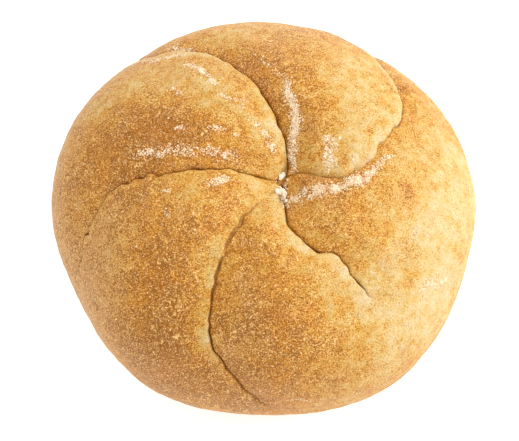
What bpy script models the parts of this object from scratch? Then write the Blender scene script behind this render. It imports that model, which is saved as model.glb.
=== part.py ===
"""A hand-folded bread roll: one domed piece of dough with five spiral folds round a pressed navel.

Metres, +Z up. The origin is the centre of the roll's footprint, on the flat base it was baked on.
Polar angles run from the navel (0) over the widest girth (90) to the middle of the base (180).
Bearings are seen from above and run anticlockwise from +X. Both are in degrees.
"""

from collections import namedtuple

import bmesh
import bpy
import numpy as np

MM = 0.001

# The dome of dough before it is folded
GIRTH_RADIUS = 51.0 * MM
GIRTH_HEIGHT = 19.5 * MM  # the side bulges furthest this high above the base
CROWN_RISE = 30.0 * MM  # from the girth up to the crown
UNDERSIDE_DROP = 23.5 * MM  # the underside's full curve, which the base cuts off flat
CROWN_FULLNESS = 2.2  # superellipse power: 2 is an ellipse, more is boxier
UNDERSIDE_FULLNESS = 2.6
OVAL_SHARE = 0.020  # the plan is this much longer along OVAL_BEARING
OVAL_BEARING = 140.0
BASE_ROUNDING = 2.4 * MM  # height over which the side rolls in to the flat base

# The navel, where the folds meet a little off the middle
NAVEL_X = 4.4 * MM
NAVEL_Y = -3.9 * MM
NAVEL_DEPTH = 6.0 * MM
NAVEL_SPREAD = 11.0  # polar angle over which the dimple opens
NAVEL_STEEPNESS = 1.5

# Each lobe of dough swells between its two creases
SWELL_FULL_FROM = 24.0  # polar angle
SWELL_GONE_BY = 128.0

# A fold's crease curls outward from the navel. Its bearings, and its depths in millimetres, are
# given at the polar angles of STATIONS, and it dies away between the two below.
STATIONS = (0, 6, 12, 18, 25, 34, 45, 55, 65, 78, 90)
CREASE_FADES_FROM = 84.0
CREASE_GONE_BY = 106.0

# lip_side: +1 if the lobe anticlockwise of the crease lies on top, -1 if the clockwise one does
# lip: radius of the rounded edge on top, slope: width of the tucked-in side below it
# swell: how far the lobe anticlockwise of the crease stands out, halfway to the next crease
Fold = namedtuple("Fold", "bearings depths lip_side lip slope swell")
FOLDS = (
    Fold(
        bearings=(80, 14, -3, 3.5, 14.5, 23.5, 31, 44.5, 53.5, 58.5, 60.5),
        depths=(0.0, 0.8, 1.2, 1.4, 1.6, 1.6, 1.7, 2.1, 2.0, 0.7, 0.1),
        lip_side=1, lip=3.0 * MM, slope=8.0 * MM, swell=0.4 * MM,
    ),
    Fold(
        bearings=(60, 80, 88, 94, 100, 106.5, 112, 120, 128, 132, 135),
        depths=(0.0, 2.6, 3.8, 4.0, 3.9, 3.5, 2.8, 2.2, 1.7, 1.0, 0.3),
        lip_side=1, lip=3.2 * MM, slope=11.0 * MM, swell=0.9 * MM,
    ),
    Fold(
        bearings=(174, 171, 172, 173, 177, 180, 183, 193, 200, 204, 207),
        depths=(0.0, 1.2, 1.8, 1.8, 1.9, 2.1, 2.1, 1.8, 1.0, 0.6, 0.4),
        lip_side=1, lip=2.8 * MM, slope=9.0 * MM, swell=2.3 * MM,
    ),
    Fold(
        bearings=(213, 229, 232, 234, 237, 242, 246.5, 251, 258.5, 266, 272),
        depths=(0.0, 0.15, 0.35, 0.5, 0.6, 0.8, 1.0, 1.3, 1.3, 1.0, 0.5),
        lip_side=-1, lip=2.6 * MM, slope=7.0 * MM, swell=1.4 * MM,
    ),
    Fold(
        bearings=(265, 275, 277, 287.5, 302.5, 304, 307, 317.5, 328.5, 337.5, 344.5),
        depths=(0.0, 2.0, 2.3, 2.2, 1.9, 1.4, 0.2, 0.0, 0.0, 0.3, 0.4),
        lip_side=-1, lip=3.0 * MM, slope=10.0 * MM, swell=1.1 * MM,
    ),
)
SHOULDER_WIDTH = 7.5 * MM  # the lobe on top rounds over softly from this far back
SHOULDER_SHARE = 0.26  # and loses this share of the crease's depth before its edge

COLUMNS_PER_LOBE = 16
RINGS = 48
COLUMN_CROWDING = 0.6  # share by which the columns close up towards the creases
NARROWEST_SHARE = 0.85  # a slope or lip never takes more of a lobe's width than this
INNERMOST = 0.001  # polar angle just off the navel, where the lobes still have a width

CRUST_COLOUR = (0.62, 0.30, 0.08, 1.0)
CRUST_ROUGHNESS = 0.7


def smooth_step(low, high, value):
    """0 up to low, 1 from high on, with an S-curve between."""
    share = np.clip((value - low) / (high - low), 0.0, 1.0)
    return share * share * (3.0 - 2.0 * share)


def at_stations(values, polar):
    """A cubic through the values given at the stations, level past the last one."""
    stations = np.array(STATIONS, float)
    values = np.array(values, float)
    slopes = np.gradient(values, stations)
    polar = np.clip(polar, stations[0], stations[-1])
    i = np.clip(np.searchsorted(stations, polar, side="right") - 1, 0, len(stations) - 2)
    width = stations[i + 1] - stations[i]
    t = (polar - stations[i]) / width
    from_low = (1 + 2 * t) * (1 - t) ** 2 * values[i] + t * (1 - t) ** 2 * width * slopes[i]
    from_high = t**2 * (3 - 2 * t) * values[i + 1] - t**2 * (1 - t) * width * slopes[i + 1]
    return from_low + from_high


def dome_point(polar, bearing):
    """Two half superellipsoids that meet at the girth, the lower one rolled in to a flat base."""
    slant, around = np.radians(polar), np.radians(bearing)
    above = polar < 90.0
    power = 2.0 / np.where(above, CROWN_FULLNESS, UNDERSIDE_FULLNESS)
    reach = np.where(above, CROWN_RISE, -UNDERSIDE_DROP)
    oval = 1.0 + OVAL_SHARE * np.cos(2.0 * (around - np.radians(OVAL_BEARING)))
    out = GIRTH_RADIUS * oval * np.abs(np.sin(slant)) ** power
    centring = np.where(above, np.cos(slant) ** 2, 0.0)
    height = GIRTH_HEIGHT + reach * np.abs(np.cos(slant)) ** power
    rounding = np.clip(height + BASE_ROUNDING, 0.0, 2.0 * BASE_ROUNDING)
    return np.array(
        (
            out * np.cos(around) + NAVEL_X * centring,
            out * np.sin(around) + NAVEL_Y * centring,
            np.where(height > BASE_ROUNDING, height, rounding**2 / (4.0 * BASE_ROUNDING)),
        )
    )


def outward(polar, bearing):
    """Unit normal of the dome, the gradient of its superellipsoid."""
    slant, around = np.radians(polar), np.radians(bearing)
    above = polar < 90.0
    fullness = np.where(above, CROWN_FULLNESS, UNDERSIDE_FULLNESS)
    reach = np.where(above, CROWN_RISE, UNDERSIDE_DROP)
    share = 2.0 * (fullness - 1.0) / fullness
    level = np.abs(np.sin(slant)) ** share / GIRTH_RADIUS
    upright = np.sign(90.0 - polar) * np.abs(np.cos(slant)) ** share / reach
    length = np.hypot(level, upright)
    return np.array((level * np.cos(around), level * np.sin(around), upright)) / length


def across(fold, polar):
    """Metres across the crease for each degree of bearing, allowing for the crease's slant."""
    step = 0.5
    turn = np.radians(at_stations(fold.bearings, polar + step) - at_stations(fold.bearings, polar - step))
    round_the_dome = GIRTH_RADIUS * np.sin(np.radians(polar))
    sideways = round_the_dome * turn
    down_the_dome = GIRTH_RADIUS * np.radians(2.0 * step)
    lean = down_the_dome / np.hypot(sideways, down_the_dome)
    return np.radians(1.0) * round_the_dome * lean


def nearness(away, width, room):
    """1 at the crease, falling to 0 at this width from it, or sooner in a narrow lobe."""
    width = (width**-3 + (NARROWEST_SHARE * room) ** -3) ** (-1.0 / 3.0)
    return np.clip(1.0 - away / width, 0.0, 1.0)


def fold_drop(fold, side, polar, away, room):
    """How far one side of a crease is pressed in, away metres from it, in a lobe room metres wide.

    The lobe on top has a soft shoulder and ends in a quarter round. The one below it slopes in.
    """
    depth = max(at_stations(fold.depths, polar), 0.0) * MM
    depth *= 1.0 - smooth_step(CREASE_FADES_FROM, CREASE_GONE_BY, polar)
    if side != fold.lip_side:
        near = nearness(away, fold.slope, room)
        return depth * near**2 * (1.5 - 0.5 * near)
    shoulder = nearness(away, SHOULDER_WIDTH, room) ** 2
    edge = 1.0 - np.sqrt(1.0 - nearness(away, fold.lip, room) ** 2)
    return depth * (SHOULDER_SHARE * shoulder + (1.0 - SHOULDER_SHARE) * edge)


def crust_point(polar, turn):
    """The folded crust. turn counts lobes: 0 is the first crease, 1 the second, and so on."""
    lobe = int(turn) % len(FOLDS)
    first, second = FOLDS[lobe], FOLDS[(lobe + 1) % len(FOLDS)]
    share = turn - int(turn)
    share -= COLUMN_CROWDING * np.sin(2.0 * np.pi * share) / (2.0 * np.pi)
    start = at_stations(first.bearings, polar)
    lobe_width = (at_stations(second.bearings, polar) - start) % 360.0
    bearing = start + share * lobe_width
    drop = -first.swell * np.sin(np.pi * share) ** 2
    drop *= smooth_step(0.0, SWELL_FULL_FROM, polar)
    drop *= 1.0 - smooth_step(90.0, SWELL_GONE_BY, polar)
    for fold, side, degrees in (
        (first, 1, share * lobe_width),
        (second, -1, (1.0 - share) * lobe_width),
    ):
        metres = across(fold, polar)
        drop += fold_drop(fold, side, polar, degrees * metres, lobe_width * metres)
    point = dome_point(polar, bearing) - drop * outward(polar, bearing)
    point[2] -= NAVEL_DEPTH * np.exp(-((polar / NAVEL_SPREAD) ** NAVEL_STEEPNESS))
    return point


def crust_material():
    """Golden-brown baked crust."""
    material = bpy.data.materials.new("baked_crust")
    material.use_nodes = True
    surface = material.node_tree.nodes["Principled BSDF"]
    surface.inputs["Base Color"].default_value = CRUST_COLOUR
    surface.inputs["Roughness"].default_value = CRUST_ROUGHNESS
    surface.inputs["Metallic"].default_value = 0.0
    material.diffuse_color = CRUST_COLOUR
    return material


def bread_roll():
    """A globe whose meridians are laid along the creases and whose rings become the crust."""
    globe = bmesh.new()
    columns = COLUMNS_PER_LOBE * len(FOLDS)
    bmesh.ops.create_uvsphere(globe, u_segments=columns, v_segments=RINGS, radius=1.0)
    for vertex in globe.verts:
        polar = np.degrees(np.arccos(np.clip(vertex.co.z, -1.0, 1.0)))
        meridian = round(np.arctan2(vertex.co.y, vertex.co.x) / (2.0 * np.pi) * columns)
        vertex.co = crust_point(max(polar, INNERMOST), (meridian % columns) / COLUMNS_PER_LOBE)
    corners = np.array([vertex.co for vertex in globe.verts])
    middle = (corners.min(axis=0) + corners.max(axis=0)) / 2.0
    bmesh.ops.translate(globe, verts=globe.verts, vec=(-middle[0], -middle[1], -corners[:, 2].min()))
    mesh = bpy.data.meshes.new("bread_roll")
    globe.to_mesh(mesh)
    globe.free()
    mesh.shade_smooth()
    mesh.materials.append(crust_material())
    return bpy.data.objects.new("bread_roll", mesh)


for existing in list(bpy.data.objects):
    bpy.data.objects.remove(existing, do_unlink=True)
pieces = bpy.data.collections.new("bread_roll")
bpy.context.scene.collection.children.link(pieces)
pieces.objects.link(bread_roll())
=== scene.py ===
from collections import namedtuple

import bpy
import numpy as np
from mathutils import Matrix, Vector


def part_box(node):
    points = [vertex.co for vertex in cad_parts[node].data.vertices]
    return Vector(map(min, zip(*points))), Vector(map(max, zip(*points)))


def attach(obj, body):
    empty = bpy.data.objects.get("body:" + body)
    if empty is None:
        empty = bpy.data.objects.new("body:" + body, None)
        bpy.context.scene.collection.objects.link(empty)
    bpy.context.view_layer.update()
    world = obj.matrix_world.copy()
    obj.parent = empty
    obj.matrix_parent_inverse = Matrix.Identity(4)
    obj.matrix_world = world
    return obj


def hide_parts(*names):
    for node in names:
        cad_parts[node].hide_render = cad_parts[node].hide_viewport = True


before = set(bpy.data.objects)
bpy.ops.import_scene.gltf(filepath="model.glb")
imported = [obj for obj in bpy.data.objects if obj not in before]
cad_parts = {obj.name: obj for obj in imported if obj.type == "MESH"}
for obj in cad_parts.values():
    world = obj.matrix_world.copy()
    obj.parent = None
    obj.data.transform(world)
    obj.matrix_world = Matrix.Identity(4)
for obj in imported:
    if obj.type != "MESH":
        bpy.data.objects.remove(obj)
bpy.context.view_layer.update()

# ------------------------------------------------------------------------------------------------
# The crust
# One piece of wholemeal dough, rounded, flattened, and folded five times round the thumb, so that
# five lobes overlap in a spiral. Proofed upside down in flour and baked dry to a dull golden brown.
# Polar angles run from the navel (0) over the girth (90) to the middle of the base (180), bearings
# anticlockwise from +X seen from above, both in degrees.

MM = 0.001

GIRTH_RADIUS = 51.0 * MM
GIRTH_HEIGHT = 19.5 * MM
CROWN_RISE = 30.0 * MM
UNDERSIDE_DROP = 23.5 * MM
CROWN_FULLNESS = 2.2
UNDERSIDE_FULLNESS = 2.6
OVAL_SHARE = 0.020
OVAL_BEARING = 140.0
BASE_ROUNDING = 2.4 * MM

NAVEL_X = 4.4 * MM
NAVEL_Y = -3.9 * MM
NAVEL_DEPTH = 6.0 * MM
NAVEL_SPREAD = 11.0
NAVEL_STEEPNESS = 1.5

SWELL_FULL_FROM = 24.0
SWELL_GONE_BY = 128.0

# A fold's bearings, depths and slits are given at these polar angles, the last two in millimetres
STATIONS = (0, 6, 12, 18, 25, 34, 45, 55, 65, 78, 90)

# depths: how far the tucked-in side is pressed down, slits: the open crack below that
# lip_side: +1 if the lobe anticlockwise of the crease lies on top, -1 if the clockwise one does
# lip: radius of the edge on top, overhang: how far it leans out over the lobe below
# slope: width of the tucked-in side, swell: how far the lobe anticlockwise of it stands out
# jog: how far the crease wanders off its course
# step: where the crease jumps aside: a polar angle, degrees of bearing, and half the jump's length
# pale: how much lighter the oven left the edge on top, brown: how much darker the side below
# seed: picks the fold's own random unevenness
Fold = namedtuple(
    "Fold",
    "bearings depths slits lip_side lip overhang slope swell jog pale brown seed step",
    defaults=[(0.0, 0.0, 1.0)],
)
FOLDS = (
    Fold(
        bearings=(80, 14, -3, 3.5, 11.5, 17, 24.5, 38, 47, 52, 54),
        depths=(0.0, 0.8, 1.2, 1.4, 1.6, 1.6, 1.7, 2.1, 2.0, 0.7, 0.1),
        slits=(0.0, 0.7, 0.9, 0.9, 0.9, 1.1, 0.9, 1.3, 1.6, 1.0, 0.1),
        lip_side=1, lip=1.1 * MM, overhang=0.0 * MM, slope=8 * MM,
        swell=0.4 * MM, jog=0.6 * MM, pale=0.26, brown=0.20, seed=60,
        step=(25.4, 6.5, 2.2),
    ),
    Fold(
        bearings=(60, 80, 88, 94, 100, 106.5, 112, 120, 128, 132, 135),
        depths=(0.0, 2.6, 3.8, 4.0, 3.9, 3.5, 2.8, 2.2, 1.7, 1.0, 0.3),
        slits=(0.0, 0.5, 0.9, 0.9, 0.9, 0.9, 0.8, 0.6, 0.4, 0.2, 0.0),
        lip_side=1, lip=1.3 * MM, overhang=0.3 * MM, slope=11 * MM,
        swell=0.9 * MM, jog=0.6 * MM, pale=0.28, brown=0.26, seed=66,
    ),
    Fold(
        bearings=(174, 171, 172, 173, 177, 180, 183, 193, 200, 204, 207),
        depths=(0.0, 1.2, 1.8, 1.8, 1.9, 2.1, 2.1, 1.8, 1.0, 0.6, 0.4),
        slits=(0.0, 0.5, 0.6, 0.65, 0.8, 1.0, 1.2, 1.1, 0.35, 0.1, 0.0),
        lip_side=1, lip=1.1 * MM, overhang=0.0 * MM, slope=9 * MM,
        swell=2.3 * MM, jog=1.1 * MM, pale=0.16, brown=0.06, seed=172,
    ),
    Fold(
        bearings=(213, 229, 232, 234, 237, 242, 246.5, 251, 258.5, 266, 272),
        depths=(0.0, 0.15, 0.35, 0.5, 0.6, 0.8, 1.0, 1.3, 1.3, 1.0, 0.5),
        slits=(0.0, 0.0, 0.35, 0.40, 0.50, 0.45, 0.50, 0.9, 0.4, 0.15, 0.0),
        lip_side=-1, lip=0.9 * MM, overhang=0.2 * MM, slope=7 * MM,
        swell=1.4 * MM, jog=0.7 * MM, pale=0.22, brown=0.16, seed=210,
    ),
    Fold(
        bearings=(265, 275, 277, 287.5, 297, 298.5, 301.5, 312, 323, 332, 339),
        depths=(0.0, 2.0, 2.3, 2.2, 1.9, 1.4, 0.2, 0.0, 0.0, 0.3, 0.4),
        slits=(0.0, 0.4, 0.25, 0.3, 0.9, 1.5, 0.0, 0.0, 0.0, 0.0, 0.0),
        lip_side=-1, lip=1.1 * MM, overhang=0.2 * MM, slope=10 * MM,
        swell=1.1 * MM, jog=0.6 * MM, pale=0.26, brown=0.07, seed=270,
        step=(23.5, 5.5, 0.7),
    ),
)
NARROWEST_SHARE = 0.85
SHOULDER_WIDTH = 7.5 * MM
SHOULDER_SHARE = 0.26
FOOT_WIDTH = 1.0 * MM
FOOT_SHARE = 0.30
SLIT_WIDTH = 0.22 * MM
# Widths of the dark band painted along each crack, darker dough and painted shade: on the side below, and on
# the lip
CRACK_SHADE_WIDTH = 0.36 * MM
CRACK_SHADE_ON_LIP = 0.15 * MM
LIP_BAND = 2.6 * MM
TUCK_BAND = 3.0 * MM

COLUMNS_PER_LOBE = 84
CROWDING = 0.80
CROWDED_SHARE = 0.12
ROWS = 234
# Share of the rows used up by each polar angle: close over the crown, wide apart under the base
ROW_SHARES = (0.0, 0.62, 0.84, 0.95, 1.0)
ROW_POLARS = (0.0, 82.0, 118.0, 143.0, 180.0)


def smooth_step(low, high, value):
    """0 up to low, 1 from high on, and 3 s^2 - 2 s^3 of the share s between."""
    share = np.clip((value - low) / (high - low), 0.0, 1.0)
    return share * share * (3.0 - 2.0 * share)


def hills(points, spacing, seed):
    """Smooth random heights from -1 to 1.

    Random values on a cubic lattice, blended between the eight corners round each point.
    """
    cells = 32
    values = np.random.default_rng(seed).uniform(-1.0, 1.0, (cells, cells, cells))
    corner = np.floor(points / spacing).astype(int)
    share = smooth_step(0.0, 1.0, points / spacing - corner)
    height = np.zeros(points.shape[:-1])
    for offset in np.ndindex(2, 2, 2):
        weight = np.prod(np.abs(1.0 - np.array(offset) - share), axis=-1)
        at = (corner + offset) % cells
        height += weight * values[at[..., 0], at[..., 1], at[..., 2]]
    return height


def ripple(along, spacing, seed):
    """hills read along a straight line: a random wave of one variable."""
    line = np.stack([along, np.full_like(along, 0.37 * spacing), np.full_like(along, 0.61 * spacing)], -1)
    return hills(line, spacing, seed)


def at_stations(values, polar):
    """A cubic through the values given at the stations, level past the last one."""
    stations = np.array(STATIONS, float)
    values = np.array(values, float)
    slopes = np.gradient(values, stations)
    polar = np.clip(polar, stations[0], stations[-1])
    i = np.clip(np.searchsorted(stations, polar, side="right") - 1, 0, len(stations) - 2)
    width = stations[i + 1] - stations[i]
    t = (polar - stations[i]) / width
    from_low = (1 + 2 * t) * (1 - t) ** 2 * values[i] + t * (1 - t) ** 2 * width * slopes[i]
    from_high = t**2 * (3 - 2 * t) * values[i + 1] - t**2 * (1 - t) * width * slopes[i + 1]
    return from_low + from_high


def across(fold, polar):
    """Metres across the crease for each degree of bearing, allowing for the crease's slant."""
    step = 0.5
    turn = np.radians(at_stations(fold.bearings, polar + step) - at_stations(fold.bearings, polar - step))
    round_the_dome = GIRTH_RADIUS * np.sin(np.radians(polar))
    down_the_dome = GIRTH_RADIUS * np.radians(2.0 * step)
    lean = down_the_dome / np.hypot(round_the_dome * turn, down_the_dome)
    return np.radians(1.0) * round_the_dome * lean


def fold_depth(fold, polar):
    """Depth of the crease along its length, a little uneven, and gone below the girth."""
    along = GIRTH_RADIUS * np.radians(polar)
    uneven = 1.0 + 0.15 * ripple(along, 11.0 * MM, fold.seed) + 0.15 * ripple(along, 3.0 * MM, fold.seed + 1)
    depth = np.maximum(at_stations(fold.depths, polar), 0.0) * MM * uneven
    return depth * (1.0 - smooth_step(84.0, 106.0, polar))


def slit_depth(fold, polar):
    """Depth of the open crack along its length: here gaping, there pressed shut."""
    along = GIRTH_RADIUS * np.radians(polar)
    gaping = 0.8 + 0.6 * ripple(along, 4.5 * MM, fold.seed + 2) + 0.3 * ripple(along, 1.7 * MM, fold.seed + 3)
    return np.maximum(at_stations(fold.slits, polar), 0.0) * MM * np.clip(gaping, 0.1, 1.5)


def crease_bearing(fold, polar):
    """Bearing of the crease's bottom.

    The cubic through the stations, with the jogs that a hand-pressed edge has, and tucked in
    under the lobe on top by its overhang.
    """
    along = GIRTH_RADIUS * np.radians(polar)
    jog = 0.7 * ripple(along, 5.2 * MM, fold.seed + 4) + 0.9 * ripple(along, 2.1 * MM, fold.seed + 5)
    jog *= fold.jog * smooth_step(5.0, 16.0, polar) * (1.0 - smooth_step(90.0, 105.0, polar))
    tuck = fold.lip_side * fold.overhang * np.minimum(fold_depth(fold, polar) / (1.5 * MM), 1.0)
    tuck *= smooth_step(3.0, 14.0, polar)
    at, jump, half = fold.step
    stepped = at_stations(fold.bearings, polar) + jump * smooth_step(at - half, at + half, polar)
    return stepped + (jog + tuck) / np.maximum(across(fold, polar), 0.05 * MM)


def dome_point(polar, bearing):
    """Two half superellipsoids that meet at the girth, the lower one rolled in to a flat base."""
    slant, around = np.radians(polar), np.radians(bearing)
    above = polar < 90.0
    power = 2.0 / np.where(above, CROWN_FULLNESS, UNDERSIDE_FULLNESS)
    reach = np.where(above, CROWN_RISE, -UNDERSIDE_DROP)
    oval = 1.0 + OVAL_SHARE * np.cos(2.0 * (around - np.radians(OVAL_BEARING)))
    out = GIRTH_RADIUS * oval * np.abs(np.sin(slant)) ** power
    centring = np.where(above, np.cos(slant) ** 2, 0.0)
    height = GIRTH_HEIGHT + reach * np.abs(np.cos(slant)) ** power
    rounding = np.clip(height + BASE_ROUNDING, 0.0, 2.0 * BASE_ROUNDING)
    level = np.where(height > BASE_ROUNDING, height, rounding**2 / (4.0 * BASE_ROUNDING))
    x = out * np.cos(around) + NAVEL_X * centring
    y = out * np.sin(around) + NAVEL_Y * centring
    return np.stack([x, y, level + 0.0 * x], -1)


def outward(polar, bearing):
    """Unit normal of the dome, the gradient of its superellipsoid."""
    slant, around = np.radians(polar), np.radians(bearing)
    above = polar < 90.0
    fullness = np.where(above, CROWN_FULLNESS, UNDERSIDE_FULLNESS)
    reach = np.where(above, CROWN_RISE, UNDERSIDE_DROP)
    share = 2.0 * (fullness - 1.0) / fullness
    level = np.abs(np.sin(slant)) ** share / GIRTH_RADIUS
    upright = np.sign(90.0 - polar) * np.abs(np.cos(slant)) ** share / reach
    length = np.hypot(level, upright)
    x, y = level * np.cos(around), level * np.sin(around)
    return np.stack([x, y, upright + 0.0 * x], -1) / length[..., None]


def no_wider(width, room):
    """width, held back smoothly where the lobe has less room than that."""
    return (width**-3 + (NARROWEST_SHARE * room) ** -3) ** (-1.0 / 3.0)


def nearness(away, width, room):
    """1 at the crease, falling evenly to 0 at this width from it."""
    return np.clip(1.0 - away / no_wider(width, room), 0.0, 1.0)


def fold_side(fold, side, polar, away, room):
    """One side of a crease, away metres from it, in a lobe room metres wide.

    Returns how far it is pressed in, and how far it leans over the crease. The lobe on top has a
    soft shoulder, near^2, and ends in a tight quarter round that bulges out below its top. The
    one below slopes in gently, near^2 (3 - near) / 2, with a steep foot, near^2. Both drop into
    a narrow slit at the bottom.
    """
    depth = fold_depth(fold, polar)
    slit = slit_depth(fold, polar) * np.exp(-((away / SLIT_WIDTH) ** 2)) * smooth_step(0.0, 4.0 * MM, room)
    if side != fold.lip_side:
        gentle = nearness(away, fold.slope, room)
        foot = nearness(away, FOOT_WIDTH, room)
        shape = (1.0 - FOOT_SHARE) * gentle**2 * (1.5 - 0.5 * gentle) + FOOT_SHARE * foot**2
        return depth * shape + slit, 0.0 * away
    shoulder = nearness(away, SHOULDER_WIDTH, room)
    edge = nearness(away, fold.lip, room)
    shape = SHOULDER_SHARE * shoulder**2 + (1.0 - SHOULDER_SHARE) * (1.0 - np.sqrt(1.0 - edge**2))
    bulge = (1.0 - edge) / 0.3
    lean = fold.overhang * np.minimum(depth / (1.5 * MM), 1.0) * bulge * np.exp(1.0 - bulge)
    lean = lean * smooth_step(2.0 * MM, 9.0 * MM, room) * smooth_step(0.0, 0.3, edge)
    return depth * shape + slit, -side * lean


# Where proofing flour stuck: on the tucked-in side, along the line where the lobe above touched it
# away: millimetres from the crease, and amounts: how thick it lies, at the polar angles of DUSTED_AT
# start and stop: polar angles at which it fades out
DUSTED_AT = (7, 16, 23, 28, 38)
Dusting = namedtuple("Dusting", "fold side away amounts start stop width")
DUSTINGS = (
    Dusting(
        fold=0, side=-1, away=(3.4, 2.6, 3.5, 3.9, 3.6), amounts=(0.85, 1.00, 0.62, 0.48, 0.36),
        start=8, stop=31, width=1.2 * MM,
    ),
    Dusting(
        fold=1, side=-1, away=(1.2, 4.2, 5.5, 6.4, 6.5), amounts=(0.80, 1.00, 0.66, 0.42, 0.25),
        start=4.5, stop=37, width=0.9 * MM,
    ),
    Dusting(
        fold=2, side=-1, away=(1.8, 3.7, 4.5, 5.0, 5.2), amounts=(0.46, 0.52, 0.52, 0.50, 0.30),
        start=11.5, stop=42, width=0.95 * MM,
    ),
)


def lobe_grid(number, polar, share):
    """The stretch of crust between two creases, as arrays of rows by columns.

    The bearing runs evenly from one crease to the next, the middle swells as sin^2, and each
    crease presses its own side in.
    """
    next_number = (number + 1) % len(FOLDS)
    first, second = FOLDS[number], FOLDS[next_number]
    start = crease_bearing(first, polar)
    lobe_width = crease_bearing(second, polar) - start
    lobe_width = np.where(lobe_width < 0.0, lobe_width + 360.0, lobe_width)
    swell = first.swell * np.sin(np.pi * share) ** 2
    swell = swell * smooth_step(0.0, SWELL_FULL_FROM, polar)
    swell = swell * (1.0 - smooth_step(90.0, SWELL_GONE_BY, polar))
    found = {"bearing": start + share * lobe_width, "drop": -swell}
    for key in ("lean", "lip", "tuck", "crack", "flour"):
        found[key] = 0.0 * swell
    for fold_number, side, degrees in (
        (number, 1, share * lobe_width),
        (next_number, -1, (1.0 - share) * lobe_width),
    ):
        fold = FOLDS[fold_number]
        metres = across(fold, polar)
        away = degrees * metres
        drop, lean = fold_side(fold, side, polar, away, lobe_width * metres)
        found["drop"] = found["drop"] + drop
        found["lean"] = found["lean"] + lean
        present = np.minimum(fold_depth(fold, polar) / (1.2 * MM), 1.0)
        gape = np.minimum(slit_depth(fold, polar) / (0.8 * MM), 1.0)
        # The crack attribute: a dark band along the crease's bottom, darker dough and painted shade, wider
        # where the crack gapes
        crack_shade_width = CRACK_SHADE_ON_LIP if side == fold.lip_side else CRACK_SHADE_WIDTH
        crack_shade_width = crack_shade_width * (0.35 + 0.65 * gape)
        found["crack"] = found["crack"] + np.sqrt(gape) * np.exp(-((away / crack_shade_width) ** 2))
        ragged = 1.0 + 0.5 * ripple(GIRTH_RADIUS * np.radians(polar), 2.6 * MM, fold.seed + 6)
        if side == fold.lip_side:
            band = np.exp(-((away / (LIP_BAND * ragged)) ** 4))
            found["lip"] = found["lip"] + fold.pale * present * band
        else:
            band = np.exp(-((away / (TUCK_BAND * ragged)) ** 2))
            found["tuck"] = found["tuck"] + fold.brown * present * band
        for dusting in DUSTINGS:
            if (dusting.fold, dusting.side) != (fold_number, side):
                continue
            middle = MM * np.interp(polar, DUSTED_AT, dusting.away)
            middle = middle + 0.5 * MM * ripple(GIRTH_RADIUS * np.radians(polar), 4.0 * MM, 31)
            ends = smooth_step(dusting.start - 3.0, dusting.start + 3.0, polar)
            ends = ends * (1.0 - smooth_step(dusting.stop - 8.0, dusting.stop + 4.0, polar))
            streak = np.exp(-(((away - middle) / dusting.width) ** 2))
            amount = np.interp(polar, DUSTED_AT, dusting.amounts)
            found["flour"] = found["flour"] + amount * ends * streak
    return found


polars = np.interp(np.arange(1, ROWS) / ROWS, ROW_SHARES, ROW_POLARS)[:, None]
evenly = np.arange(COLUMNS_PER_LOBE + 1) / COLUMNS_PER_LOBE
closeness = np.exp(-((evenly / CROWDED_SHARE) ** 2)) + np.exp(-(((1.0 - evenly) / CROWDED_SHARE) ** 2))
strides = 1.0 - CROWDING * (closeness[1:] + closeness[:-1]) / 2.0
shares = np.concatenate([[0.0], np.cumsum(strides)[:-1]])[None, :] / strides.sum()
lobes = [lobe_grid(number, polars, shares) for number in range(len(FOLDS))]
crust = {key: np.concatenate([lobe[key] for lobe in lobes], axis=1) for key in lobes[0]}


def rounds(values):
    """values differenced along the columns, which join up round the roll."""
    return np.roll(values, -1, axis=1) - np.roll(values, 1, axis=1)


def unit(vectors):
    """vectors scaled to length 1."""
    return vectors / np.maximum(np.linalg.norm(vectors, axis=-1, keepdims=True), 1e-12)


def surface_normals(points):
    """Outward unit normals of a grid: down the rows crossed with round the columns."""
    return unit(np.cross(np.gradient(points, axis=0), rounds(points)))


dome = dome_point(polars, crust["bearing"])
normals = outward(polars, crust["bearing"])
sideways = unit(np.cross(normals, np.gradient(dome, axis=0)))
folded = dome - crust["drop"][..., None] * normals + crust["lean"][..., None] * sideways
folded[..., 2] -= NAVEL_DEPTH * np.exp(-((polars / NAVEL_SPREAD) ** NAVEL_STEEPNESS))

# The thumb's dent tore into one crack that joins the second fold to the last across the navel.
# Along it the dough on the +X side was pressed lower.
CLEFT_BEARING = 84.0
CLEFT_REACH = 4.6 * MM
CLEFT_STEP = 1.3 * MM
CLEFT_SLIT = 1.5 * MM

cleft_turn = np.radians(crust["bearing"] - CLEFT_BEARING)
from_navel = GIRTH_RADIUS * np.radians(polars)
cleft_along = from_navel * np.cos(cleft_turn)
cleft_across = -from_navel * np.sin(cleft_turn) + 0.35 * MM * ripple(cleft_along, 1.8 * MM, 41)
cleft_fade = np.exp(-((cleft_along / CLEFT_REACH) ** 4))
pressed = smooth_step(-0.3 * MM, 0.3 * MM, cleft_across) * np.exp(-((cleft_across / (3.5 * MM)) ** 2))
torn = np.exp(-((cleft_across / (0.4 * MM)) ** 2)) * (0.8 + 0.4 * ripple(cleft_along, 1.6 * MM, 42))
folded[..., 2] -= cleft_fade * (CLEFT_STEP * pressed + CLEFT_SLIT * torn)
# The torn crack gets the same band of darker dough and painted shade
crust["crack"] = crust["crack"] + 0.9 * cleft_fade * torn

# Unevenness of the baked dough: soft lumps, then blisters, then fine wrinkles
above_base = smooth_step(0.5 * MM, 6.0 * MM, folded[..., 2])
relief = 0.45 * MM * hills(folded, 22.0 * MM, 11)
relief += 0.20 * MM * hills(folded, 8.0 * MM, 12)
relief += 0.12 * MM * hills(folded, 3.1 * MM, 13)
relief += 0.07 * MM * hills(folded, 1.4 * MM, 14)
folded += (relief * above_base)[..., None] * surface_normals(folded)

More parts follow.
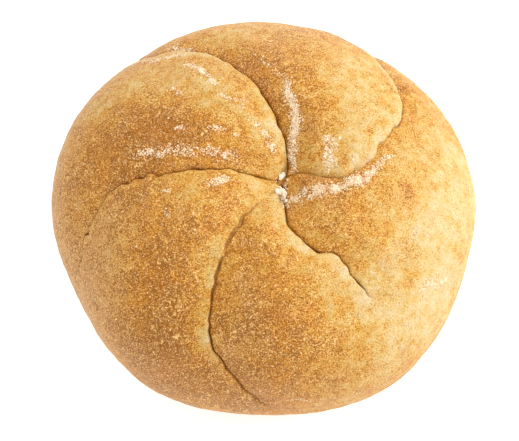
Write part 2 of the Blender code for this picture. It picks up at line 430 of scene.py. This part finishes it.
# Where the oven browned the crust most and least, and left it dull and tan or, below 0, golden
# reach: how far from its middle it has faded to a third
Patch = namedtuple("Patch", "polar bearing reach amount")
BROWNED = (
    Patch(38, 162, 12 * MM, 0.54),
    Patch(24, 158, 7 * MM, 0.20),
    Patch(57, 177, 7 * MM, 0.24),
    Patch(34, 193, 5 * MM, 0.12),
    Patch(18, 66, 6 * MM, 0.12),
    Patch(29, 76, 7 * MM, 0.24),
    Patch(28, 97, 5 * MM, 0.18),
    Patch(37, 101, 6 * MM, 0.12),
    Patch(33, 217, 5 * MM, 0.24),
    Patch(40, 226, 5 * MM, 0.20),
    Patch(71, 240, 12 * MM, 0.62),
    Patch(46, 223, 8 * MM, 0.29),
    Patch(42, 90, 8 * MM, 0.16),
    Patch(85, 266, 5 * MM, 0.30),
    Patch(27, 262, 5 * MM, 0.16),
    Patch(24, 71, 4 * MM, 0.20),
    Patch(30, 8, 9 * MM, 0.12),
    Patch(48, 272, 13 * MM, 0.34),
    Patch(58, 288, 6 * MM, 0.12),
    Patch(20, 250, 7 * MM, 0.08),
    Patch(14, 300, 6 * MM, 0.04),
    Patch(22, 314, 7 * MM, 0.06),
    Patch(34, 349, 2.2 * MM, 0.42),
    Patch(24, 2, 5 * MM, 0.10),
    Patch(49, 319, 2.5 * MM, 0.30),
    Patch(43, 311, 2.2 * MM, 0.25),
    Patch(15, 12, 1.1 * MM, 0.45),
    Patch(20, 12, 0.9 * MM, 0.40),
    Patch(26, 27, 1.2 * MM, 0.35),
    Patch(43, 24, 3.5 * MM, 0.16),
    Patch(55, 38, 3.5 * MM, 0.18),
    Patch(82, 266, 14 * MM, 0.14),
    Patch(27, 208, 4 * MM, 0.12),
    Patch(70, 240, 6 * MM, 0.22),
    Patch(86, 267, 5 * MM, 0.14),
    Patch(16, 72, 3 * MM, 0.10),
)
PALED = (
    Patch(56, 350, 22 * MM, 0.36),
    Patch(46, 15, 15 * MM, 0.06),
    Patch(64, 314, 17 * MM, 0.36),
    Patch(32, 52, 10 * MM, 0.40),
    Patch(18, 22, 5 * MM, 0.34),
    Patch(22, 122, 7 * MM, 0.06),
    Patch(33, 126, 7 * MM, 0.30),
    Patch(57, 149, 7 * MM, 0.20),
    Patch(44, 134, 8 * MM, 0.24),
    Patch(13, 104, 4 * MM, 0.26),
    Patch(9, 62, 2.5 * MM, 0.25),
    Patch(10, 262, 5 * MM, 0.12),
    Patch(75, 222, 8 * MM, 0.12),
    Patch(25, 138, 4 * MM, 0.18),
    Patch(25, 17, 5 * MM, 0.20),
    Patch(70, 285, 6 * MM, 0.20),
    Patch(24, 296, 4 * MM, 0.10),
    Patch(20, 268, 6 * MM, 0.12),
    Patch(42, 300, 11 * MM, 0.24),
    Patch(64, 330, 4 * MM, 0.16),
    Patch(22, 233, 3 * MM, 0.12),
    Patch(8, 225, 5 * MM, 0.14),
    Patch(60, 257, 4 * MM, 0.18),
    Patch(56, 250, 4 * MM, 0.28),
    Patch(27, 234, 3 * MM, 0.22),
    Patch(54, 248, 2.5 * MM, 0.12),
    Patch(45, 245, 3 * MM, 0.14),
    Patch(18, 284, 3.5 * MM, 0.16),
    Patch(62, 100, 22 * MM, 0.16),
)
TANNED = (
    Patch(44, 132, 9 * MM, 0.35),
    Patch(58, 84, 14 * MM, 0.60),
    Patch(58, 208, 13 * MM, 0.65),
    Patch(41, 226, 10 * MM, -0.40),
    Patch(34, 256, 5 * MM, 0.30),
    Patch(50, 262, 6 * MM, 0.25),
    Patch(8, 340, 5 * MM, 0.50),
    Patch(60, 257, 4 * MM, 0.40),
)

# Flour smeared from one place to another
Smear = namedtuple("Smear", "polar bearing to_polar to_bearing width amount")
SMEARS = (
    Smear(14, 36, 11, 14, 1.2 * MM, 0.85),
    Smear(14.5, 114, 7, 105, 1.2 * MM, 0.40),
    Smear(23, 118, 18, 114, 1.5 * MM, 0.12),
    Smear(43, 124, 38, 122, 0.9 * MM, 0.60),
    Smear(38, 122, 30, 122, 0.7 * MM, 0.70),
    Smear(26, 124, 22, 120, 0.9 * MM, 0.32),
    Smear(38, 136, 32, 137, 0.8 * MM, 0.22),
    Smear(60, 121, 54, 118, 1.3 * MM, 0.28),
    Smear(58, 130, 51, 122, 1.1 * MM, 0.42),
    Smear(75, 136, 62, 131, 0.9 * MM, 0.30),
    Smear(0.4, 90, 1.0, 262, 0.8 * MM, 0.55),
    Smear(4.5, 290, 8, 336, 1.7 * MM, 0.40),
    Smear(16, 190, 13, 186, 1.1 * MM, 0.62),
    Smear(29, 190, 27, 192, 0.7 * MM, 0.28),
    Smear(30, 202, 30, 205, 0.7 * MM, 0.25),
    Smear(28, 154, 26, 153, 0.7 * MM, 0.45),
    Smear(20, 144, 18, 142, 0.8 * MM, 0.45),
    Smear(14, 137, 14, 134, 0.6 * MM, 0.40),
    Smear(80, 278, 80, 284, 0.8 * MM, 0.24),
    Smear(57, 324, 66, 331, 1.4 * MM, 0.45),
)


def dome_at(polar, bearing):
    """The point of the unfolded dome at one polar angle and bearing."""
    return dome_point(np.array(float(polar)), np.array(float(bearing)))


def patched(patches):
    """The sum of soft round patches, each fading as exp(-distance^2 / reach^2)."""
    total = np.zeros(dome.shape[:2])
    for patch in patches:
        distance = np.linalg.norm(dome - dome_at(patch.polar, patch.bearing), axis=-1)
        total += patch.amount * np.exp(-((distance / patch.reach) ** 2))
    return total


def smeared(smears):
    """The sum of soft stripes, each fading with the distance from the line between its ends."""
    total = np.zeros(dome.shape[:2])
    for smear in smears:
        start = dome_at(smear.polar, smear.bearing)
        stroke = dome_at(smear.to_polar, smear.to_bearing) - start
        share = np.clip((dome - start) @ stroke / (stroke @ stroke), 0.0, 1.0)
        distance = np.linalg.norm(dome - start - share[..., None] * stroke, axis=-1)
        total += smear.amount * np.exp(-((distance / smear.width) ** 2))
    return total


crust["toast"] = patched(BROWNED) - patched(PALED)
# It caught in clots about a millimetre across, with bare crust between them
crust["flour"] = (crust["flour"] + smeared(SMEARS)) * (0.95 + 0.65 * hills(folded, 1.2 * MM, 32))
# The side away from the oven's heat stays dull and tan
cooler = smooth_step(52.0, 84.0, polars) * (0.5 - 0.5 * np.cos(np.radians(crust["bearing"] - 350.0)))
crust["tan"] = np.minimum(cooler + patched(TANNED), 1.0)

count_rows, count_columns = folded.shape[:2]
navel_point = folded[0].mean(axis=0)
base_point = folded[-1].mean(axis=0)
points = np.concatenate([navel_point[None], folded.reshape(-1, 3), base_point[None]])
roll_low, roll_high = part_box("bread_roll")
middle = (points.min(axis=0) + points.max(axis=0)) / 2.0
points[:, 0] += (roll_low.x + roll_high.x) / 2.0 - middle[0]
points[:, 1] += (roll_low.y + roll_high.y) / 2.0 - middle[1]
points[:, 2] += roll_low.z - points[:, 2].min()

column = np.arange(count_columns)
beside = (column + 1) % count_columns
row_start = 1 + count_columns * np.arange(count_rows - 1)[:, None]
quads = np.stack(
    [row_start + column, row_start + count_columns + column,
     row_start + count_columns + beside, row_start + beside], -1,
).reshape(-1, 4)
last_row = 1 + count_columns * (count_rows - 1)
navel_fan = np.stack([0 * column, 1 + column, 1 + beside], -1)
base_fan = np.stack([0 * column + len(points) - 1, last_row + beside, last_row + column], -1)


def mesh_of(name, points, *face_arrays):
    """A mesh from an array of points and arrays of faces, each with one number of corners."""
    mesh = bpy.data.meshes.new(name)
    mesh.vertices.add(len(points))
    mesh.vertices.foreach_set("co", points.astype(np.float32).ravel())
    corners = np.concatenate([faces.ravel() for faces in face_arrays])
    sizes = np.concatenate([np.full(len(faces), faces.shape[1]) for faces in face_arrays])
    mesh.loops.add(len(corners))
    mesh.loops.foreach_set("vertex_index", corners.astype(np.int32))
    mesh.polygons.add(len(sizes))
    starts = np.concatenate([[0], np.cumsum(sizes)[:-1]])
    mesh.polygons.foreach_set("loop_start", starts.astype(np.int32))
    mesh.update(calc_edges=True)
    mesh.validate()
    mesh.shade_smooth()
    return mesh


crust_mesh = mesh_of("bread_roll_crust", points, quads, navel_fan, base_fan)


def paint(mesh, name, grid):
    """Stores one number for each vertex, the poles taking the mean of the row next to them."""
    values = np.concatenate([[grid[0].mean()], grid.ravel(), [grid[-1].mean()]])
    layer = mesh.attributes.new(name, "FLOAT", "POINT")
    layer.data.foreach_set("value", values.astype(np.float32))


for key in ("lip", "tuck", "crack", "flour", "toast", "tan"):
    paint(crust_mesh, key, crust[key])


class Shade:
    """A socket in a material's nodes. Arithmetic on it adds Math nodes."""

    def __init__(self, tree, socket=None):
        self.tree = tree
        self.socket = socket

    def node(self, kind, settings=None, inputs=None, output=0):
        """Adds a node: its settings first, a ramp's stops among them, then its inputs."""
        node = self.tree.nodes.new(kind)
        for name, value in (settings or {}).items():
            if name == "stops":
                ramp = node.color_ramp
                while len(ramp.elements) < len(value):
                    ramp.elements.new(1.0)
                for element, (place, colour) in zip(ramp.elements, value):
                    element.position = place
                    element.color = colour
            else:
                setattr(node, name, value)
        for key, value in (inputs or {}).items():
            if isinstance(value, Shade):
                self.tree.links.new(value.socket, node.inputs[key])
            else:
                node.inputs[key].default_value = value
        return Shade(self.tree, node.outputs[output])

    def math(self, operation, *values):
        return self.node("ShaderNodeMath", {"operation": operation}, dict(enumerate(values)))

    def __add__(self, other):
        return self.math("ADD", self, other)

    __radd__ = __add__

    def __sub__(self, other):
        return self.math("SUBTRACT", self, other)

    def __rsub__(self, other):
        return self.math("SUBTRACT", other, self)

    def __mul__(self, other):
        return self.math("MULTIPLY", self, other)

    __rmul__ = __mul__

    def ramp(self, low, high):
        """0 up to low and 1 from high on."""
        inputs = {"Value": self, "From Min": low, "From Max": high}
        return self.node("ShaderNodeMapRange", {"interpolation_type": "SMOOTHSTEP"}, inputs)

    def blend(self, low, high):
        """A colour between low and high, as far along as this value says."""
        return self.node("ShaderNodeMix", {"data_type": "RGBA"}, {0: self, 6: low, 7: high}, 2)


def painted(shade, name):
    """The number stored at each vertex under this name."""
    return shade.node("ShaderNodeAttribute", {"attribute_name": name}, output=2)


def grain(shade, place, size_mm, detail=2.0, roughness=0.5, swirl=0.0):
    """Noise from 0 to 1 with lumps this many millimetres apart, drawn out by the swirl."""
    inputs = {"Vector": place, "Scale": 1.0 / size_mm, "Detail": detail, "Roughness": roughness}
    inputs["Distortion"] = swirl
    return shade.node("ShaderNodeTexNoise", {"normalize": True}, inputs)


# From the darkest toast to the palest, by how little the oven browned it
CRUST_TONES = (
    (0.00, (0.32, 0.100, 0.004, 1.0)),
    (0.20, (0.43, 0.155, 0.006, 1.0)),
    (0.40, (0.48, 0.195, 0.012, 1.0)),
    (0.56, (0.51, 0.268, 0.042, 1.0)),
    (0.72, (0.54, 0.355, 0.110, 1.0)),
    (0.80, (0.55, 0.390, 0.155, 1.0)),
    (1.00, (0.58, 0.450, 0.250, 1.0)),
)
TAN_CRUST = (0.50, 0.268, 0.102, 1.0)
# Darker dough and painted shade at the bottom of the cracks
CRACK_BROWN_AND_SHADE = (0.22, 0.080, 0.015, 1.0)
# Pale speckle, and the painted highlight on flaked edges
PALE_GRAIN_AND_HIGHLIGHT = (0.90, 0.55, 0.19, 1.0)
DARK_GRAIN = (0.25, 0.080, 0.001, 1.0)
# Bran flecks, and the painted shadow beside flaked edges
BRAN_AND_SHADOW = (0.20, 0.070, 0.010, 1.0)
FLOURED = (0.76, 0.57, 0.36, 1.0)


def crust_material():
    """Baked crust: mottled from cream to brown, grainy with bran, dusted where flour lay."""
    material = bpy.data.materials.new("baked_crust")
    material.use_nodes = True
    tree = material.node_tree
    surface = tree.nodes["Principled BSDF"]
    shade = Shade(tree)
    here = shade.node("ShaderNodeTexCoord", output=3)
    place = shade.node("ShaderNodeVectorMath", {"operation": "SCALE"}, {0: here, "Scale": 1.0 / MM})

    blotch = grain(shade, place, 12.0, 2.0)
    patchy = grain(shade, place, 6.0, 1.0)
    mottle = grain(shade, place, 2.6, 2.0, 0.6)
    speck = grain(shade, place, 0.85, 2.0, 0.65, 0.8)
    fine = grain(shade, place, 0.31, 1.0, 0.6, 0.6)
    flake = grain(shade, place, 0.85, 0.0, 0.5, 3.0)
    curl = grain(shade, place, 1.7, 1.0, 0.5, 1.2)
    tone = 0.58 + 0.75 * (blotch - 0.5) + 1.12 * (mottle - 0.5) + painted(shade, "lip")
    tone = tone - painted(shade, "toast") - painted(shade, "tuck") - 0.18 * painted(shade, "flour")
    colour = shade.node("ShaderNodeValToRGB", {"stops": CRUST_TONES}, {0: 0.8 * tone})
    dull = 0.75 * painted(shade, "tan") + 0.28 * grain(shade, place, 6.5, 2.0, 0.5, 0.5).ramp(0.48, 0.72)
    colour = dull.blend(colour, TAN_CRUST)
    lively = (0.4 + 1.2 * patchy) * (1.75 - 1.25 * tone.ramp(0.2, 1.05))
    rough = lively * (0.88 * (fine - 0.5) + 0.20 * (speck - 0.5))
    colour = (2.4 * rough.math("MAXIMUM", rough, 0.0)).blend(colour, PALE_GRAIN_AND_HIGHLIGHT)
    colour = (-6.0 * rough.math("MINIMUM", rough, 0.0)).blend(colour, DARK_GRAIN)
    colour = (0.6 * (lively * flake).ramp(0.80, 0.95)).blend(colour, BRAN_AND_SHADOW)
    # Short curled edges where the skin of the dough flaked, drawn in colour: a painted highlight on top with a
    # painted shadow beside
    broken = lively * patchy.ramp(0.40, 0.70) * speck.ramp(0.48, 0.62)
    edge = 1.0 - 14.0 * (curl - 0.50).math("ABSOLUTE", curl - 0.50)
    colour = (0.55 * broken * edge.ramp(0.1, 0.9)).blend(colour, PALE_GRAIN_AND_HIGHLIGHT)
    shadow = 1.0 - 14.0 * (curl - 0.56).math("ABSOLUTE", curl - 0.56)
    colour = (0.35 * broken * shadow.ramp(0.1, 0.9)).blend(colour, BRAN_AND_SHADOW)
    # Darker dough and painted shade down in the cracks
    colour = painted(shade, "crack").blend(colour, CRACK_BROWN_AND_SHADE)
    dust = painted(shade, "flour") * (0.4 + 1.2 * speck) + 2.6 * (fine - 0.5) + 2.0 * (speck - 0.5)
    colour = (0.75 * dust.ramp(0.45, 0.90)).blend(colour, FLOURED)
    tree.links.new(colour.socket, surface.inputs["Base Color"])

    height = 0.45 * mottle + 0.35 * speck + 0.20 * fine
    bump = shade.node("ShaderNodeBump", {}, {"Strength": 0.8, "Distance": 0.0006, "Height": height})
    tree.links.new(bump.socket, surface.inputs["Normal"])
    surface.inputs["Roughness"].default_value = 0.55
    surface.inputs["Specular IOR Level"].default_value = 0.2
    return material


crust_mesh.materials.append(crust_material())
crust_piece = bpy.data.objects.new("bread_roll_crust", crust_mesh)
bpy.context.scene.collection.objects.link(crust_piece)
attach(crust_piece, "root")
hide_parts("bread_roll")

# ------------------------------------------------------------------------------------------------
# The flour grains
# Proofing flour that baked on in tiny lumps where the dough was tucked in: flattened crumbs of
# rye flour a fifth to half a millimetre across, each sunk a little into the crust.

GRAIN_COUNT = 5000
GRAIN_SIZE = 0.16 * MM
GRAIN_SPREAD = 0.35

lumps = np.random.default_rng(21)
dusty = np.clip(crust["flour"], 0.0, 1.2) ** 1.5 + 0.0001
dusty = dusty * (polars < 100.0) * (0.15 + np.clip(hills(folded, 0.9 * MM, 22), 0.0, 1.0))
cell_area = np.linalg.norm(np.cross(np.gradient(folded, axis=0), rounds(folded) / 2.0), axis=-1)
chance = (dusty * cell_area).ravel()
chosen = lumps.choice(chance.size, GRAIN_COUNT, p=chance / chance.sum())
crust_normals = surface_normals(folded).reshape(-1, 3)[chosen]
spots = points[1:-1][chosen]
scatter = lumps.uniform(-0.3, 0.3, (GRAIN_COUNT, 3)) * MM
scatter -= (scatter * crust_normals).sum(axis=1, keepdims=True) * crust_normals

golden = (1.0 + 5.0**0.5) / 2.0
icosahedron = unit(np.array([
    (-1, golden, 0), (1, golden, 0), (-1, -golden, 0), (1, -golden, 0),
    (0, -1, golden), (0, 1, golden), (0, -1, -golden), (0, 1, -golden),
    (golden, 0, -1), (golden, 0, 1), (-golden, 0, -1), (-golden, 0, 1),
]))
icosahedron_faces = np.array([
    (0, 11, 5), (0, 5, 1), (0, 1, 7), (0, 7, 10), (0, 10, 11),
    (1, 5, 9), (5, 11, 4), (11, 10, 2), (10, 7, 6), (7, 1, 8),
    (3, 9, 4), (3, 4, 2), (3, 2, 6), (3, 6, 8), (3, 8, 9),
    (4, 9, 5), (2, 4, 11), (6, 2, 10), (8, 6, 7), (9, 8, 1),
])
sizes = GRAIN_SIZE * np.exp(lumps.normal(0.0, GRAIN_SPREAD, (GRAIN_COUNT, 1, 1)))
knobbly = 1.0 + lumps.uniform(-0.25, 0.25, (GRAIN_COUNT, 12, 1))
grains = icosahedron[None] * knobbly * sizes
# Flattened along the crust's normal, so that each lies on its broad side
standing = (grains * crust_normals[:, None]).sum(axis=2, keepdims=True) * crust_normals[:, None]
grains = grains - 0.45 * standing + (spots + scatter)[:, None]
grain_faces = icosahedron_faces[None] + 12 * np.arange(GRAIN_COUNT)[:, None, None]
grain_mesh = mesh_of("flour_grains", grains.reshape(-1, 3), grain_faces.reshape(-1, 3))

FLOUR_CREAM = (0.80, 0.65, 0.46, 1.0)
FLOUR_TOASTED = (0.64, 0.44, 0.25, 1.0)


def flour_material(name, palest, toasted_most):
    """Dry flour: matt, off-white, toasted here and there."""
    material = bpy.data.materials.new(name)
    material.use_nodes = True
    tree = material.node_tree
    surface = tree.nodes["Principled BSDF"]
    shade = Shade(tree)
    here = shade.node("ShaderNodeTexCoord", output=3)
    place = shade.node("ShaderNodeVectorMath", {"operation": "SCALE"}, {0: here, "Scale": 1.0 / MM})
    toasted = grain(shade, place, 0.8, 2.0).ramp(0.35, 0.65)
    colour = toasted.blend(palest, toasted_most)
    tree.links.new(colour.socket, surface.inputs["Base Color"])
    crumbly = grain(shade, place, 0.12, 2.0)
    bump = shade.node("ShaderNodeBump", {}, {"Strength": 0.6, "Distance": 0.0001, "Height": crumbly})
    tree.links.new(bump.socket, surface.inputs["Normal"])
    surface.inputs["Roughness"].default_value = 0.9
    surface.inputs["Specular IOR Level"].default_value = 0.2
    return material


grain_mesh.materials.append(flour_material("dry_flour", FLOUR_CREAM, FLOUR_TOASTED))
grain_piece = bpy.data.objects.new("flour_grains", grain_mesh)
bpy.context.scene.collection.objects.link(grain_piece)
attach(grain_piece, "root")

# ------------------------------------------------------------------------------------------------
# The flour clumps
# Two pinches of flour that caught in the navel, where all the folds meet, and baked hard. Lumpy
# little balls, pressed into the crack.

# polar and bearing: where in the navel it sits, radius: its size, seed: picks its lumps; BALL_RINGS and
# BALL_COLUMNS count the ball's grid
Clump = namedtuple("Clump", "polar bearing radius seed")
CLUMPS = (
    Clump(polar=1.5, bearing=92.0, radius=0.85 * MM, seed=3),
    Clump(polar=0.9, bearing=114.0, radius=0.65 * MM, seed=4),
    Clump(polar=2.4, bearing=262.0, radius=1.5 * MM, seed=8),
    Clump(polar=2.7, bearing=250.0, radius=0.8 * MM, seed=6),
    Clump(polar=3.9, bearing=278.0, radius=0.55 * MM, seed=7),
)
CAKED_WHITE = (0.79, 0.70, 0.59, 1.0)
CAKED_CREAM = (0.66, 0.52, 0.37, 1.0)
BALL_RINGS = 28
BALL_COLUMNS = 40


def lumpy_ball(clump):
    """A ball whose radius swells and shrinks with two sizes of random hills."""
    sink = -0.15
    nearest = np.abs(polars[:, 0] - clump.polar).argmin()
    turn = np.abs((crust["bearing"][nearest] - clump.bearing + 180.0) % 360.0 - 180.0).argmin()
    at = 1 + nearest * count_columns + turn
    normal = surface_normals(folded)[nearest, turn]
    slant = np.linspace(0.0, np.pi, BALL_RINGS + 1)[1:-1, None]
    around = np.linspace(0.0, 2.0 * np.pi, BALL_COLUMNS, endpoint=False)[None, :]
    level = 0.0 * around
    ball = np.stack([np.sin(slant) * np.cos(around), np.sin(slant) * np.sin(around), np.cos(slant) + level], -1)
    poles = np.array([[0.0, 0.0, 1.0], [0.0, 0.0, -1.0]])
    ball = np.concatenate([poles[:1], ball.reshape(-1, 3), poles[1:]])
    lumpy = 1.0 + 0.42 * hills(ball, 0.9, clump.seed) + 0.24 * hills(ball, 0.38, clump.seed + 50)
    ball = ball * clump.radius * lumpy[:, None]
    ball -= 0.3 * (ball @ normal)[:, None] * normal
    return ball + points[at] - sink * clump.radius * normal


ball_column = np.arange(BALL_COLUMNS)
ball_beside = (ball_column + 1) % BALL_COLUMNS
ring_start = 1 + BALL_COLUMNS * np.arange(BALL_RINGS - 2)[:, None]
ball_quads = np.stack(
    [ring_start + ball_column, ring_start + BALL_COLUMNS + ball_column,
     ring_start + BALL_COLUMNS + ball_beside, ring_start + ball_beside], -1,
).reshape(-1, 4)
ball_size = 2 + BALL_COLUMNS * (BALL_RINGS - 1)
top_fan = np.stack([0 * ball_column, 1 + ball_column, 1 + ball_beside], -1)
low_ring = 1 + BALL_COLUMNS * (BALL_RINGS - 2)
low_fan = np.stack([0 * ball_column + ball_size - 1, low_ring + ball_beside, low_ring + ball_column], -1)
clump_points = np.concatenate([lumpy_ball(clump) for clump in CLUMPS])
clump_offsets = ball_size * np.arange(len(CLUMPS))[:, None, None]
clump_mesh = mesh_of(
    "flour_clumps",
    clump_points,
    (ball_quads[None] + clump_offsets).reshape(-1, 4),
    (top_fan[None] + clump_offsets).reshape(-1, 3),
    (low_fan[None] + clump_offsets).reshape(-1, 3),
)
clump_mesh.materials.append(flour_material("caked_flour", CAKED_WHITE, CAKED_CREAM))
clump_piece = bpy.data.objects.new("flour_clumps", clump_mesh)
bpy.context.scene.collection.objects.link(clump_piece)
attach(clump_piece, "root")

# ------------------------------------------------------------------------------------------------
# The studio
# A wide white table, lit a little from below so that it throws hardly any shadow, under a soft
# white surround, with one large soft light high on the right.

TABLE_SIZE = 6.0
TABLE_WHITE = (0.95, 0.95, 0.95, 1.0)
TABLE_GLOW = 0.45
SURROUND_STRENGTH = 1.1
KEY_SIZE = 0.7
KEY_DISTANCE = 0.9
KEY_WATTS = 8.0
KEY_AZIMUTH = 20.0
KEY_ELEVATION = 42.0

LENS = 100.0
CAMERA_DISTANCE = 0.352
CAMERA_ELEVATION = 65.0
CAMERA_AIM = (-0.0008, -0.0038, 0.0220)

corners = np.array([(-1, -1, 0), (1, -1, 0), (1, 1, 0), (-1, 1, 0)]) * TABLE_SIZE / 2.0
table_top = bpy.data.objects.new("table_top", mesh_of("table_top", corners, np.array([[0, 1, 2, 3]])))
table_paint = bpy.data.materials.new("table_white")
table_paint.use_nodes = True
table_surface = table_paint.node_tree.nodes["Principled BSDF"]
table_surface.inputs["Base Color"].default_value = TABLE_WHITE
table_surface.inputs["Roughness"].default_value = 0.9
table_surface.inputs["Emission Color"].default_value = TABLE_WHITE
table_surface.inputs["Emission Strength"].default_value = TABLE_GLOW
table_top.data.materials.append(table_paint)
bpy.context.scene.collection.objects.link(table_top)


def looking(position, target):
    """The rotation of a camera or light at position that faces target."""
    return (Vector(target) - Vector(position)).to_track_quat("-Z", "Y").to_euler()


def from_angles(target, distance, azimuth, elevation):
    """The point this far from target, seen at this azimuth from +X and this elevation."""
    a, e = np.radians(azimuth), np.radians(elevation)
    out = Vector((np.cos(a) * np.cos(e), np.sin(a) * np.cos(e), np.sin(e)))
    return Vector(target) + distance * out


key_light = bpy.data.objects.new("key_light", bpy.data.lights.new("key_light", "AREA"))
key_light.data.size = KEY_SIZE
key_light.data.energy = KEY_WATTS
key_light.location = from_angles(CAMERA_AIM, KEY_DISTANCE, KEY_AZIMUTH, KEY_ELEVATION)
key_light.rotation_euler = looking(key_light.location, CAMERA_AIM)
bpy.context.scene.collection.objects.link(key_light)

surround = bpy.data.worlds.new("white_surround")
surround.use_nodes = True
surround.node_tree.nodes["Background"].inputs["Color"].default_value = (1.0, 1.0, 1.0, 1.0)
surround.node_tree.nodes["Background"].inputs["Strength"].default_value = SURROUND_STRENGTH
bpy.context.scene.world = surround
bpy.context.scene.view_settings.view_transform = "Standard"

camera = bpy.data.objects.new("camera", bpy.data.cameras.new("camera"))
camera.data.lens = LENS
camera.location = from_angles(CAMERA_AIM, CAMERA_DISTANCE, -90.0, CAMERA_ELEVATION)
camera.rotation_euler = looking(camera.location, CAMERA_AIM)
camera.data.clip_start = 0.01
bpy.context.scene.collection.objects.link(camera)
bpy.context.scene.camera = camera
